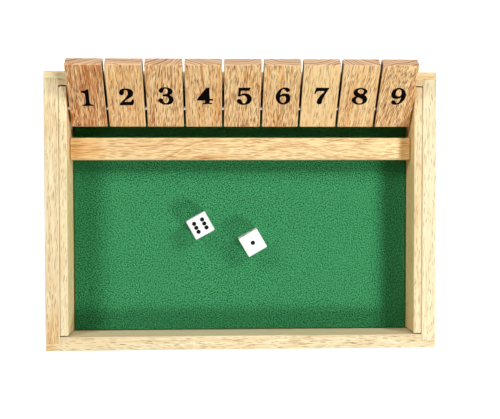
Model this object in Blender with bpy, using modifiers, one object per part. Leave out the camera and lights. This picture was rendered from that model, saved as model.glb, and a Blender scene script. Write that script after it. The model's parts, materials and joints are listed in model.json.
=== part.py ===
"""Shut the box game: a shallow wooden tray lined with felt, nine tiles that flip over on
one steel rod, a rest that the fallen tiles lie on, and a pair of dice.

Lengths are in metres and +Z is up. +X runs along the row from tile 1 to tile 9, +Y runs
from the player towards the tiles, and the origin is the centre of the underside.
"""

import math

import bmesh
import bpy
from mathutils import Matrix, Vector

# Tray
TRAY_LENGTH = 0.290
TRAY_DEPTH = 0.206
WALL_HEIGHT = 0.030
WALL_THICKNESS = 0.0105
WALL_EDGE_RADIUS = 0.0006
CORNER_LAP_SHARE = 0.5
BASE_THICKNESS = 0.0027
BASE_LAP = 0.005
FELT_THICKNESS = 0.001
LINER_THICKNESS = 0.0059
LINER_END_GAP = 0.0007
LINER_EDGE_RADIUS = 0.0005
SEAT_GAP = 0.0003

# Tiles and the rod they turn on
TILE_COUNT = 9
TILE_LENGTH = 0.054
TILE_THICKNESS = 0.009
TILE_EDGE_RADIUS = 0.0009
TILE_TAIL = 0.014
TILE_GAP = 0.0013
TILE_BORE_GAP = 0.0004
ROW_END_GAP = 0.001
ROW_SHIFT = 0.0004
ROD_RADIUS = 0.0015
ROD_END_CHAMFER = 0.0003
TAIL_WALL_GAP = 0.0013
TAIL_FELT_GAP = 0.0043

# Rest for the fallen tiles
REST_WIDTH = 0.0165
REST_EDGE_RADIUS = 0.0005
TILE_OVERHANG = 0.0018

# Dice
DIE_SIZE = 0.016
DIE_EDGE_RADIUS = 0.0012
PIP_RADIUS = 0.0014
PIP_DEPTH = 0.0004
PIP_SPACING = 0.0034
PIP_FLOOR_SHARE = 0.6

# Where the middle of each die lies, as shares of the tray's length and depth
DIE_PLACE_SHARES = {"die_1": (-0.107, -0.054), "die_2": (0.029, -0.1175)}
# How each die lies: tipped over about its own Y, then turned about Z, in degrees
DIE_TURNS = {"die_1": (0, 29), "die_2": (180, 30.2)}
# Each face of a die: its pips, and the axis and angle that turn the top face to it.
# Opposite faces add up to seven.
DIE_FACES = (
    (6, "X", 0),
    (1, "X", 180),
    (2, "X", -90),
    (5, "X", 90),
    (3, "Y", 90),
    (4, "Y", -90),
)
CORNER_CELLS = ((-1, -1), (-1, 1), (1, -1), (1, 1))
PIP_CELLS = {
    1: ((0, 0),),
    2: ((-1, -1), (1, 1)),
    3: ((-1, -1), (0, 0), (1, 1)),
    4: CORNER_CELLS,
    5: (*CORNER_CELLS, (0, 0)),
    6: (*CORNER_CELLS, (-1, 0), (1, 0)),
}

# Modelling
CUT_OVERRUN = 0.002
EDGE_STEPS = 2
FINE_EDGE_STEPS = 3
ROUND_SIDES = 32
PIP_SIDES = 16
X_AXIS, Y_AXIS = 0, 1

# Places that follow from the sizes above
HALF_LENGTH = TRAY_LENGTH / 2
HALF_DEPTH = TRAY_DEPTH / 2
INNER_X = HALF_LENGTH - WALL_THICKNESS
INNER_Y = HALF_DEPTH - WALL_THICKNESS
CLEAR_X = INNER_X - SEAT_GAP - LINER_THICKNESS
FELT_BOTTOM = BASE_THICKNESS + SEAT_GAP
FELT_TOP = FELT_BOTTOM + FELT_THICKNESS
TAIL_SWING = math.hypot(TILE_TAIL, TILE_THICKNESS / 2)
ROD_Y = INNER_Y - TAIL_SWING - TAIL_WALL_GAP
ROD_Z = FELT_TOP + TAIL_SWING + TAIL_FELT_GAP
ROW_LENGTH = 2 * (CLEAR_X - ROW_END_GAP)
TILE_WIDTH = (ROW_LENGTH - (TILE_COUNT - 1) * TILE_GAP) / TILE_COUNT
TILE_PITCH = TILE_WIDTH + TILE_GAP
TILE_REACH = TILE_LENGTH - TILE_TAIL
REST_FRONT = ROD_Y - TILE_REACH + TILE_OVERHANG
REST_TOP = ROD_Z - TILE_THICKNESS / 2 - SEAT_GAP


def lean_angle():
    """How far a raised tile's face tilts up from level.

    The tile's back meets the rounded inner top edge of the back wall. The middle of that
    rounding stays half a tile, the seat gap and the radius away from the tile's mid-plane.
    """
    back = INNER_Y + WALL_EDGE_RADIUS - ROD_Y
    up = WALL_HEIGHT - WALL_EDGE_RADIUS - ROD_Z
    off_plane = TILE_THICKNESS / 2 + SEAT_GAP + WALL_EDGE_RADIUS
    return math.atan2(up, back) + math.asin(off_plane / math.hypot(back, up))


TILE_LEAN = lean_angle()


def clear_scene():
    for obj in list(bpy.data.objects):
        bpy.data.objects.remove(obj, do_unlink=True)


def new_collection(name):
    collection = bpy.data.collections.new(name)
    bpy.context.scene.collection.children.link(collection)
    return collection


def linear(channel):
    """A screen colour's channel, 0 to 255, as the linear light that a shader takes."""
    value = channel / 255
    if value <= 0.04045:
        return value / 12.92
    return ((value + 0.055) / 1.055) ** 2.4


def material(name, screen_colour, roughness, metallic=0.0):
    made = bpy.data.materials.new(name)
    made.use_nodes = True
    shader = made.node_tree.nodes["Principled BSDF"]
    shader.inputs["Base Color"].default_value = (*map(linear, screen_colour), 1)
    shader.inputs["Roughness"].default_value = roughness
    shader.inputs["Metallic"].default_value = metallic
    return made


def add_object(name, mesh, collection, finish=None):
    obj = bpy.data.objects.new(name, mesh)
    collection.objects.link(obj)
    if finish:
        mesh.materials.append(finish)
    return obj


def add_empty(name, location, collection):
    empty = bpy.data.objects.new(name, None)
    empty.location = location
    empty.empty_display_size = WALL_HEIGHT
    collection.objects.link(empty)
    return empty


def mesh_of(name, shape):
    mesh = bpy.data.meshes.new(name)
    shape.to_mesh(mesh)
    shape.free()
    return mesh


def box_mesh(name, low, high):
    """A box between two corners."""
    low, high = Vector(low), Vector(high)
    shape = bmesh.new()
    bmesh.ops.create_cube(shape, size=1)
    bmesh.ops.scale(shape, vec=high - low, verts=shape.verts)
    bmesh.ops.translate(shape, vec=(low + high) / 2, verts=shape.verts)
    return mesh_of(name, shape)


def bar_mesh(name, radius, length):
    """A round bar along X, centred on the origin."""
    shape = bmesh.new()
    bmesh.ops.create_cone(
        shape,
        cap_ends=True,
        segments=ROUND_SIDES,
        radius1=radius,
        radius2=radius,
        depth=length,
        matrix=Matrix.Rotation(math.radians(90), 4, "Y"),
    )
    mesh = mesh_of(name, shape)
    mesh.shade_smooth()
    mesh.set_sharp_from_angle(angle=math.radians(30))
    return mesh


def ease_edges(piece, radius, steps=EDGE_STEPS, along=None):
    """Rounds all of a box's edges, or only those that run along one axis."""
    bevel = piece.modifiers.new("eased edges", "BEVEL")
    bevel.width = radius
    bevel.segments = steps
    if along is None:
        return
    bevel.limit_method = "WEIGHT"
    mesh = piece.data
    weights = mesh.attributes.new("bevel_weight_edge", "FLOAT", "EDGE").data
    for edge in mesh.edges:
        start, end = (mesh.vertices[index].co for index in edge.vertices)
        weights[edge.index].value = abs((end - start).normalized()[along])


def cut(piece, cutter):
    boolean = piece.modifiers.new(f"cut {cutter.name}", "BOOLEAN")
    boolean.operation = "DIFFERENCE"
    boolean.solver = "EXACT"
    boolean.object = cutter


def add_cutter(name, mesh, cutters):
    cutter = add_object(name, mesh, cutters)
    cutter.hide_render = True
    cutter.display_type = "WIRE"
    return cutter


def wall_end_cutter(side, end, cutters):
    """The notch that a side wall's end sits in, at one end of the front or back wall."""
    notch_x = INNER_X - SEAT_GAP
    notch_y = HALF_DEPTH - WALL_THICKNESS * CORNER_LAP_SHARE
    xs = sorted((side * notch_x, side * (HALF_LENGTH + CUT_OVERRUN)))
    ys = sorted((end * (INNER_Y - CUT_OVERRUN), end * notch_y))
    low = (xs[0], ys[0], -CUT_OVERRUN)
    high = (xs[1], ys[1], WALL_HEIGHT + CUT_OVERRUN)
    name = f"corner_notch_{'right' if side > 0 else 'left'}_{'back' if end > 0 else 'front'}"
    return add_cutter(name, box_mesh(name, low, high), cutters)


def base_seat_cutter(cutters):
    """The step under all four walls that the base panel is let into."""
    half_x = INNER_X + BASE_LAP
    half_y = INNER_Y + BASE_LAP
    low = (-half_x, -half_y, -CUT_OVERRUN)
    high = (half_x, half_y, BASE_THICKNESS + SEAT_GAP)
    return add_cutter("base_seat", box_mesh("base_seat", low, high), cutters)


def add_end_walls(parts, cutters, finish, base_seat):
    """The front and back walls, which run the tray's full length."""
    for name, end in (("front_wall", -1), ("back_wall", 1)):
        ys = sorted((end * INNER_Y, end * HALF_DEPTH))
        mesh = box_mesh(name, (-HALF_LENGTH, ys[0], 0), (HALF_LENGTH, ys[1], WALL_HEIGHT))
        wall = add_object(name, mesh, parts, finish)
        ease_edges(wall, WALL_EDGE_RADIUS)
        for side in (-1, 1):
            cut(wall, wall_end_cutter(side, end, cutters))
        cut(wall, base_seat)


def add_side_walls(parts, finish, base_seat):
    """The left and right walls, whose ends sit in the notches of the other two."""
    half_run = HALF_DEPTH - WALL_THICKNESS * CORNER_LAP_SHARE - SEAT_GAP
    for name, side in (("left_wall", -1), ("right_wall", 1)):
        xs = sorted((side * INNER_X, side * HALF_LENGTH))
        mesh = box_mesh(name, (xs[0], -half_run, 0), (xs[1], half_run, WALL_HEIGHT))
        wall = add_object(name, mesh, parts, finish)
        ease_edges(wall, WALL_EDGE_RADIUS, along=Y_AXIS)
        cut(wall, base_seat)


def add_liners(parts, cutters, finish):
    """The thin boards inside the side walls, which carry the rod's ends."""
    radius = ROD_RADIUS + SEAT_GAP
    rod_hole = add_cutter("rod_hole", bar_mesh("rod_hole", radius, TRAY_LENGTH), cutters)
    rod_hole.location = (0, ROD_Y, ROD_Z)
    half_run = INNER_Y - LINER_END_GAP
    for name, side in (("left_liner", -1), ("right_liner", 1)):
        xs = sorted((side * CLEAR_X, side * (CLEAR_X + LINER_THICKNESS)))
        low = (xs[0], -half_run, FELT_BOTTOM)
        liner = add_object(
            name, box_mesh(name, low, (xs[1], half_run, WALL_HEIGHT)), parts, finish
        )
        ease_edges(liner, LINER_EDGE_RADIUS)
        cut(liner, rod_hole)


def add_base(parts, finish):
    half_x = INNER_X + BASE_LAP - SEAT_GAP
    half_y = INNER_Y + BASE_LAP - SEAT_GAP
    low = (-half_x, -half_y, 0)
    high = (half_x, half_y, BASE_THICKNESS)
    add_object("base_panel", box_mesh("base_panel", low, high), parts, finish)


def add_felt(parts, finish):
    half_x = CLEAR_X - SEAT_GAP
    half_y = INNER_Y - SEAT_GAP
    low = (-half_x, -half_y, FELT_BOTTOM)
    high = (half_x, half_y, FELT_TOP)
    add_object("felt_mat", box_mesh("felt_mat", low, high), parts, finish)


def add_rest(parts, finish):
    half_x = CLEAR_X - SEAT_GAP
    low = (-half_x, REST_FRONT, FELT_TOP + SEAT_GAP)
    high = (half_x, REST_FRONT + REST_WIDTH, REST_TOP)
    rest = add_object("tile_rest", box_mesh("tile_rest", low, high), parts, finish)
    ease_edges(rest, REST_EDGE_RADIUS, along=X_AXIS)


def add_rod(rod_axis, parts, finish):
    mesh = bar_mesh("pivot_rod", ROD_RADIUS, 2 * (INNER_X - SEAT_GAP))
    rod = add_object("pivot_rod", mesh, parts, finish)
    rod.parent = rod_axis
    chamfer = rod.modifiers.new("end chamfers", "BEVEL")
    chamfer.width = ROD_END_CHAMFER
    chamfer.segments = 1
    chamfer.limit_method = "ANGLE"
    chamfer.angle_limit = math.radians(60)


def add_tiles(rod_axis, parts, cutters, finish):
    """The numbered tiles, each with its origin on the rod that it turns on.

    A tile runs along its own Y, with its tail behind the rod, and its number faces +Z.
    """
    half_width, half_thick = TILE_WIDTH / 2, TILE_THICKNESS / 2
    low = (-half_width, -TILE_TAIL, -half_thick)
    high = (half_width, TILE_REACH, half_thick)
    mesh = box_mesh("tile", low, high)
    mesh.materials.append(finish)
    bore_mesh = bar_mesh("tile_bore", ROD_RADIUS + TILE_BORE_GAP, TRAY_LENGTH)
    bore = add_cutter("tile_bore", bore_mesh, cutters)
    bore.parent = rod_axis
    for index in range(TILE_COUNT):
        tile = add_object(f"tile_{index + 1}", mesh, parts)
        tile.parent = rod_axis
        tile.location.x = ROW_SHIFT + (index - (TILE_COUNT - 1) / 2) * TILE_PITCH
        tile.rotation_euler.x = TILE_LEAN
        ease_edges(tile, TILE_EDGE_RADIUS, FINE_EDGE_STEPS)
        cut(tile, bore)


def pip_mesh():
    """The cutter for all of a die's pips: a shallow cone for each, widest at the face."""
    spread = PIP_RADIUS * (1 - PIP_FLOOR_SHARE) / PIP_DEPTH
    depth = PIP_DEPTH + CUT_OVERRUN
    middle = DIE_SIZE / 2 - PIP_DEPTH + depth / 2
    shape = bmesh.new()
    for count, axis, angle in DIE_FACES:
        turn = Matrix.Rotation(math.radians(angle), 4, axis)
        for column, row in PIP_CELLS[count]:
            place = Matrix.Translation((column * PIP_SPACING, row * PIP_SPACING, middle))
            bmesh.ops.create_cone(
                shape,
                cap_ends=True,
                segments=PIP_SIDES,
                radius1=PIP_RADIUS * PIP_FLOOR_SHARE,
                radius2=PIP_RADIUS + spread * CUT_OVERRUN,
                depth=depth,
                matrix=turn @ place,
            )
    return mesh_of("pips", shape)


def add_dice(parts, cutters, finish):
    half = DIE_SIZE / 2
    mesh = box_mesh("die", (-half, -half, -half), (half, half, half))
    mesh.materials.append(finish)
    pips = pip_mesh()
    for name, (along, across) in DIE_PLACE_SHARES.items():
        die = add_object(name, mesh, parts)
        centre_z = FELT_TOP + SEAT_GAP + half
        die.location = (along * TRAY_LENGTH, across * TRAY_DEPTH, centre_z)
        tip, turn = DIE_TURNS[name]
        die.rotation_euler = (0, math.radians(tip), math.radians(turn))
        ease_edges(die, DIE_EDGE_RADIUS, FINE_EDGE_STEPS)
        cutter = add_cutter(f"{name}_pips", pips, cutters)
        cutter.parent = die
        cut(die, cutter)


def main():
    clear_scene()
    parts = new_collection("shut_the_box")
    cutters = new_collection("cutters")
    rod_axis = add_empty("rod_axis", (0, ROD_Y, ROD_Z), parts)
    frame_wood = material("frame_wood", (246, 226, 184), 0.55)
    liner_wood = material("liner_wood", (250, 228, 182), 0.55)
    rest_wood = material("rest_wood", (246, 210, 150), 0.5)
    tile_wood = material("tile_wood", (224, 175, 118), 0.5)
    base_wood = material("base_wood", (214, 180, 134), 0.65)
    felt = material("felt", (50, 130, 80), 0.95)
    steel = material("steel", (190, 190, 188), 0.3, 1.0)
    plastic = material("die_plastic", (250, 250, 250), 0.25)
    base_seat = base_seat_cutter(cutters)
    add_end_walls(parts, cutters, frame_wood, base_seat)
    add_side_walls(parts, frame_wood, base_seat)
    add_liners(parts, cutters, liner_wood)
    add_base(parts, base_wood)
    add_felt(parts, felt)
    add_rest(parts, rest_wood)
    add_rod(rod_axis, parts, steel)
    add_tiles(rod_axis, parts, cutters, tile_wood)
    add_dice(parts, cutters, plastic)


main()
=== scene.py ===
"""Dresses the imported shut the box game: its woods, felt, steel, dice, painted numbers and stage.

Lengths are in metres and +Z is up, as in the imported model. +X runs along the row from
tile 1 to tile 9 and +Y runs from the player towards the tiles.
"""

import json
import math
from dataclasses import dataclass

import bmesh
import bpy
import numpy as np
from bpy.props import FloatProperty, FloatVectorProperty, IntProperty, PointerProperty
from mathutils import Euler, Matrix, Vector
from mathutils.geometry import delaunay_2d_cdt


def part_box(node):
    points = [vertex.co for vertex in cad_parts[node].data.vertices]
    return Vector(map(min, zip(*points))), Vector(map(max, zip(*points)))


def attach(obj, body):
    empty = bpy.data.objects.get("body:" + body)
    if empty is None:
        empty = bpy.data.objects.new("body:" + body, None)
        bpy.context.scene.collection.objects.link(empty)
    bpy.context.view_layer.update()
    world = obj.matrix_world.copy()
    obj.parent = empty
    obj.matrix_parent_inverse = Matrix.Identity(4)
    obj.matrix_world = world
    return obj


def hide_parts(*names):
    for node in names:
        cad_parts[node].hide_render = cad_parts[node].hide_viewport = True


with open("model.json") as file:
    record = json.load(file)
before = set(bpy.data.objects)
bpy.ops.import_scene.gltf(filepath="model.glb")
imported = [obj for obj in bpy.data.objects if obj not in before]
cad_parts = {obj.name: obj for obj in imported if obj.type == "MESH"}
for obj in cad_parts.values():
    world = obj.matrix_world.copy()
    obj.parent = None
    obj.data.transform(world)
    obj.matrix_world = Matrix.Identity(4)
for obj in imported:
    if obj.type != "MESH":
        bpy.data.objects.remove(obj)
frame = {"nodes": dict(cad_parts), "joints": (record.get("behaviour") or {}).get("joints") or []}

bl_info = {
    "name": "Shut the box game",
    "version": (1, 0, 0),
    "blender": (4, 5, 0),
    "location": "3D View > Sidebar > Shut the box",
    "description": "Finishes the tray, tiles, felt, rod and dice of a shut the box game",
    "category": "Object",
}

MM = 0.001
RIGHT_ANGLE = math.pi / 2
ALONG_X = Matrix.Identity(3)
ALONG_Y = Matrix.Rotation(RIGHT_ANGLE, 3, "Z")
BLACK = (0, 0, 0)
TILE_COUNT = sum(joint["type"] == "hinge" for joint in frame["joints"])


def linear(channel):
    """A screen colour's channel, 0 to 255, as the linear light that a shader takes."""
    value = channel / 255
    if value <= 0.04045:
        return value / 12.92
    return ((value + 0.055) / 1.055) ** 2.4


def screen(red, green, blue):
    """A screen colour, 0 to 255, as a linear one."""
    return tuple(map(linear, (red, green, blue)))


def length(label, words, metres):
    """A size that a user may change."""
    return FloatProperty(
        name=label, description=words, default=metres, min=0, unit="LENGTH", precision=5
    )


def share(label, words, value):
    """A part of something else, from nothing to all of it."""
    return FloatProperty(
        name=label, description=words, default=value, soft_min=0, soft_max=1, subtype="FACTOR"
    )


def colour(label, words, red, green, blue):
    """A colour that a user may change, given as a screen colour."""
    return FloatVectorProperty(
        name=label, description=words, default=screen(red, green, blue), min=0, subtype="COLOR"
    )


class TrayLook(bpy.types.PropertyGroup):
    """Sizes and colours of the walls, liners, rest and base."""

    wall_edge: length("Wall edge", "Radius of the walls' sanded edges", 0.0007)
    joint_line: length("Joint line", "Gap that shows where two walls meet", 0.00003)
    joint_share: share("Joint easing", "Easing of a joint's edge, of the open edges' one", 0.06)
    seat_height: length("Base seat", "Height of the step that the base is let into", 0.003)
    seat_depth: length("Base lap", "How far the base reaches under each wall", 0.005)
    base_edge: length("Base edge", "Radius of the base's edges", 0.0003)
    liner_edge: length("Liner edge", "Radius of the liners' edges", 0.0008)
    liner_end: length("Liner end", "Radius of the edges at the liners' ends", 0.0002)
    liner_short: length("Liner shortfall", "How much either end was sanded away", 0.00005)
    rest_edge: length("Rest edge", "Radius of the rest's long edges", 0.0006)
    rest_short: length("Rest shortfall", "How much either end was sanded away", 0.0001)
    wall_pale: colour("Pale wall wood", "Lightest tone of the walls", 253, 241, 200)
    wall_deep: colour("Deep wall wood", "Darkest tone of the walls", 214, 168, 108)
    liner_pale: colour("Pale liner wood", "Lightest tone of the liners", 253, 239, 196)
    liner_deep: colour("Deep liner wood", "Darkest tone of the liners", 222, 178, 118)
    rest_pale: colour("Pale rest wood", "Lightest tone of the rest", 253, 229, 174)
    rest_deep: colour("Deep rest wood", "Darkest tone of the rest", 206, 142, 78)
    base_pale: colour("Pale base wood", "Lightest tone of the base", 226, 196, 152)
    base_deep: colour("Deep base wood", "Darkest tone of the base", 186, 146, 100)


class TileLook(bpy.types.PropertyGroup):
    """Sizes and colours of the tiles."""

    edge: length("Edge", "Radius of a tile's long edges", 0.0007)
    corner: length("Corner", "Radius of a tile's corners, seen from its side", 0.001)
    planed: length("Planed", "How much sanding took off either side of a tile", 0.00014)
    clearance: length("Clearance", "What was planed off the row's two outer sides", 0.0004)
    bore_chamfer: length("Bore chamfer", "Width of the bevel round the rod's hole", 0.0003)
    bore_gap: length("Bore gap", "Play between the rod and a tile's hole", 0.0004)
    wear_share: share("Wear", "How much the edge radius wanders", 0.12)
    pale: colour("Pale wood", "Lightest tone of the tiles", 255, 222, 163)
    deep: colour("Deep wood", "Darkest tone of the tiles", 200, 122, 60)


class NumberLook(bpy.types.PropertyGroup):
    """Sizes and colour of the painted numbers."""

    height: length("Height", "Height of a number", 0.014)
    base: length("Base", "Distance from the rod to a number's foot", 0.0063)
    spread: length("Spread", "How far the ink ran out past the stamp's outline", 0.00012)
    paint: length("Paint", "Thickness of the paint", 0.00004)
    lift: length("Lift", "Gap under the paint", 0.000005)
    black: colour("Black", "Colour of the paint", 3, 0, 0)


class FeltLook(bpy.types.PropertyGroup):
    """Sizes and colours of the felt."""

    spacing: length("Spacing", "Distance between two points of the felt's surface", 0.0011)
    nap: length("Nap", "Depth of the felt's uneven nap", 0.00006)
    tuck: length("Tuck", "Width of the border that is pressed down", 0.0015)
    trim: length("Trim", "How far the felt stops short of its place all round", 0.00015)
    pale: colour("Pale fibres", "Colour of the fibres that stand up", 94, 196, 132)
    green: colour("Green", "Middle colour of the felt", 54, 152, 93)
    deep: colour("Deep fibres", "Colour between the fibres", 8, 92, 46)


class RodLook(bpy.types.PropertyGroup):
    """Sizes and colour of the steel rod."""

    chamfer: length("Chamfer", "Width of the bevel at the rod's ends", 0.0003)
    sides: IntProperty(name="Sides", description="Faces round the rod", default=64, min=12)
    steel: colour("Steel", "Colour of the steel", 226, 222, 214)


class DiceLook(bpy.types.PropertyGroup):
    """Sizes and colours of the dice."""

    edge: length("Edge", "Radius of a die's edges", 0.0007)
    pip_radius: length("Pip radius", "Radius of a pip at the die's face", 0.0016)
    pip_depth: length("Pip depth", "Depth of a pip's bowl", 0.0005)
    pip_spacing: length("Pip spacing", "Distance between a face's rows of pips", 0.0034)
    white: colour("White", "Colour of the plastic", 254, 254, 253)
    black: colour("Black", "Colour of the pips", 4, 3, 4)


class StageLook(bpy.types.PropertyGroup):
    """The camera, the lamps and the floor."""

    lens: FloatProperty(
        name="Lens", description="Focal length in millimetres", default=61.81, min=1
    )
    camera_place: FloatVectorProperty(
        name="Camera place",
        description="Where the camera stands",
        default=(-0.019488, 0.021522, 0.664726),
        subtype="TRANSLATION",
        unit="LENGTH",
    )
    camera_turn: FloatVectorProperty(
        name="Camera turn",
        description="How the camera is turned from looking straight down",
        default=tuple(map(math.radians, (-1.828, -2.295, -0.091))),
        subtype="EULER",
    )
    floor_radius: length("Floor radius", "How far the floor reaches", 4.0)
    floor_gap: length("Floor gap", "Gap between the tray and the floor", 0.0002)
    floor_glow: share("Floor glow", "Part of the floor's white that no shadow dims", 0.62)
    near: length("Near floor", "How far the floor takes the lamps' light in full", 0.45)
    far: length("Far floor", "Where the floor's own white has taken over", 1.2)
    lamp_height: length("Lamp height", "How high the lamps stand", 1.7)
    level: share("Light level", "How brightly the lamps light the floor, of a plain level", 0.98)
    sky: FloatProperty(
        name="Sky", description="Strength of the light from all round", default=0.01
    )


def look(name):
    """One group of settings of the scene."""
    return getattr(bpy.context.scene, f"shut_box_{name}")


# Surfaces

# Distance from a rounding to the line that keeps the flat face beside it flat
HOLD = 0.00015
# Points nearer than the first are merged, and edges shorter than the second are dissolved
MERGED, VANISHED = 1e-7, 1e-8
# Steps along a rounded edge
EDGE_STEPS = 5
# Radius of a block's and of a wall's upright corners, of their edges' radius
BLOCK_CORNER, WALL_CORNER = 1.15, 1.2
# What a bored block's corner keeps of its radius where the outline is drawn in furthest
LEAST_CORNER = 0.08
# The felt's nap: its seed, how often it is smoothed, and how many steps its pressed
# border has and how deep that is, of its width
NAP_SEED, NAP_SMOOTHINGS = 5, 3
TUCK_STEPS, TUCK_DEPTH = 6, 0.4
# The corners of a square, and the turn from each to the next
CORNERS = np.array([(1, 1), (-1, 1), (-1, -1), (1, -1)])
QUARTER_TURN = np.array([[0, -1], [1, 0]])


def surface(name, points, close_rows=False, close_columns=True, caps=True):
    """A mesh over a grid of points.

    Each two neighbouring rows and columns bound one face. Closing joins the last row or
    column to the first, and caps are one face each, inside the first and the last row.
    """
    rows, columns = points.shape[:2]
    index = np.arange(rows * columns).reshape(rows, columns)
    if close_rows:
        index = np.vstack([index, index[:1]])
    if close_columns:
        index = np.hstack([index, index[:, :1]])
    cells = (index[:-1, :-1], index[:-1, 1:], index[1:, 1:], index[1:, :-1])
    faces = np.stack(cells, axis=-1).reshape(-1, 4).tolist()
    if caps and not close_rows:
        faces += [list(range(columns))[::-1], list(range((rows - 1) * columns, rows * columns))]
    mesh = bpy.data.meshes.new(name)
    mesh.from_pydata(points.reshape(-1, 3).tolist(), [], faces)
    return close_seams(mesh)


def close_seams(mesh, sharp_degrees=35):
    """Merges doubled points, turns all the faces outwards and smooths the round edges."""
    shape = bmesh.new()
    shape.from_mesh(mesh)
    bmesh.ops.remove_doubles(shape, verts=shape.verts, dist=MERGED)
    bmesh.ops.dissolve_degenerate(shape, edges=shape.edges, dist=VANISHED)
    bmesh.ops.recalc_face_normals(shape, faces=shape.faces)
    shape.to_mesh(mesh)
    shape.free()
    mesh.shade_smooth()
    mesh.set_sharp_from_angle(angle=math.radians(sharp_degrees))
    return mesh


def bend(steps):
    """The cosines and sines of evenly spaced angles from zero to a right angle."""
    angles = np.linspace(0, RIGHT_ANGLE, steps + 1)
    return np.cos(angles), np.sin(angles)


def corner_ways(steps):
    """The ways outwards along a quarter circle at each corner, and each corner's signs."""
    arc = np.stack(bend(steps), axis=1)
    turns = (np.linalg.matrix_power(QUARTER_TURN, count) for count in range(4))
    return np.vstack([arc @ turn.T for turn in turns]), np.repeat(CORNERS, steps + 1, axis=0)


def all_round(count):
    """The directions to evenly spaced points on a circle."""
    angles = np.arange(count) * 2 * math.pi / count
    return np.stack([np.cos(angles), np.sin(angles)], axis=1)


def turned(around, along, sides):
    """A profile carried round Z: each radius times every direction, at its own height."""
    points = np.empty((len(around), sides, 3))
    points[..., :2] = np.array(around)[:, None, None] * all_round(sides)
    points[..., 2] = np.array(along)[:, None]
    return points


def eased_heights(low, high, radius, steps):
    """How a rounded side rises: the heights from low to high and the inset at each.

    Near either end the inset grows from nothing to the radius along a quarter circle,
    and one more row lies just inside, on the flat end.
    """
    cosines, sines = bend(steps)
    rise = np.concatenate([[0], radius * (1 - cosines)])
    inset = np.concatenate([[radius + HOLD], radius * (1 - sines)])
    heights = np.concatenate([low + rise, high - rise[::-1]])
    return heights, np.concatenate([inset, inset[::-1]])


def round_rectangle(low, high, radius, steps):
    """A rectangle with rounded corners: its points and, at each, the way inwards.

    Round each corner the points run along a quarter circle, and the way in is towards
    its middle.
    """
    ways, signs = corner_ways(steps)
    middle = (np.array(low) + high) / 2
    core = (np.array(high) - low) / 2 - radius
    return middle + signs * core + ways * radius, -ways


def eased_block(name, low, high, along, radius, steps=EDGE_STEPS):
    """A block with rounded edges, as a rounded rectangle carried along one axis.

    At both ends the rectangle is drawn in by the eased heights' inset.
    """
    across = [axis for axis in range(3) if axis != along]
    low, high = np.array(low), np.array(high)
    corner = BLOCK_CORNER * radius
    outline, inwards = round_rectangle(low[across], high[across], corner, steps)
    heights, insets = eased_heights(low[along], high[along], radius, steps)
    points = np.empty((len(heights), len(outline), 3))
    points[..., across] = outline + insets[:, None, None].clip(max=corner) * inwards
    points[..., along] = heights[:, None]
    return surface(name, points)


def board_on_plan(name, plan, inwards, seat, height, radius):
    """A wall board, as its plan carried upwards.

    Each point of the plan moves inwards by the inset at that height, and below the
    base's seat it also moves by its own seat vector.
    """
    heights, insets = eased_heights(0, height, radius, EDGE_STEPS)
    half = len(heights) // 2
    heights = np.insert(heights, half, [look("tray").seat_height] * 2)
    insets = np.insert(insets, half, [0, 0])
    seated = np.arange(len(heights)) <= half
    points = np.empty((len(heights), len(plan), 3))
    points[..., :2] = plan + insets[:, None, None] * inwards + seated[:, None, None] * seat
    points[..., 2] = heights[:, None]
    return surface(name, points)


def end_board_plan(half_length, outer, inner, notch_x, notch_y, corner, joint):
    """The plan of the back board, with its notched ends, and the ways inwards.

    The right half runs from the inner face round the notch to the outer corner, whose
    points lie on a quarter circle. The left half is its mirror image.
    """
    arc = np.stack(bend(EDGE_STEPS), axis=1)
    start = [(notch_x, inner), (notch_x, notch_y), (half_length, notch_y)]
    right = np.vstack([start, (half_length - corner, outer - corner) + corner * arc])
    ways = np.vstack([[(-joint, 1), (-joint, joint), (-1, joint)], -arc])
    seat = np.zeros_like(right)
    seat[0, 1] = look("tray").seat_depth
    mirror = np.array([-1, 1])
    return tuple(np.vstack([part, part[::-1] * mirror]) for part in (right, ways, seat))


def side_board_plan(outer, inner, half_run, joint):
    """The plan of the right board, whose ends are square, and the ways inwards."""
    plan = np.array([(inner, -half_run), (outer, -half_run), (outer, half_run), (inner, half_run)])
    ways = np.array([(1, joint), (-1, joint), (-1, -joint), (1, -joint)])
    seat = np.array([(1, 0), (0, 0), (0, 0), (1, 0)]) * look("tray").seat_depth
    return plan, ways, seat


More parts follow.
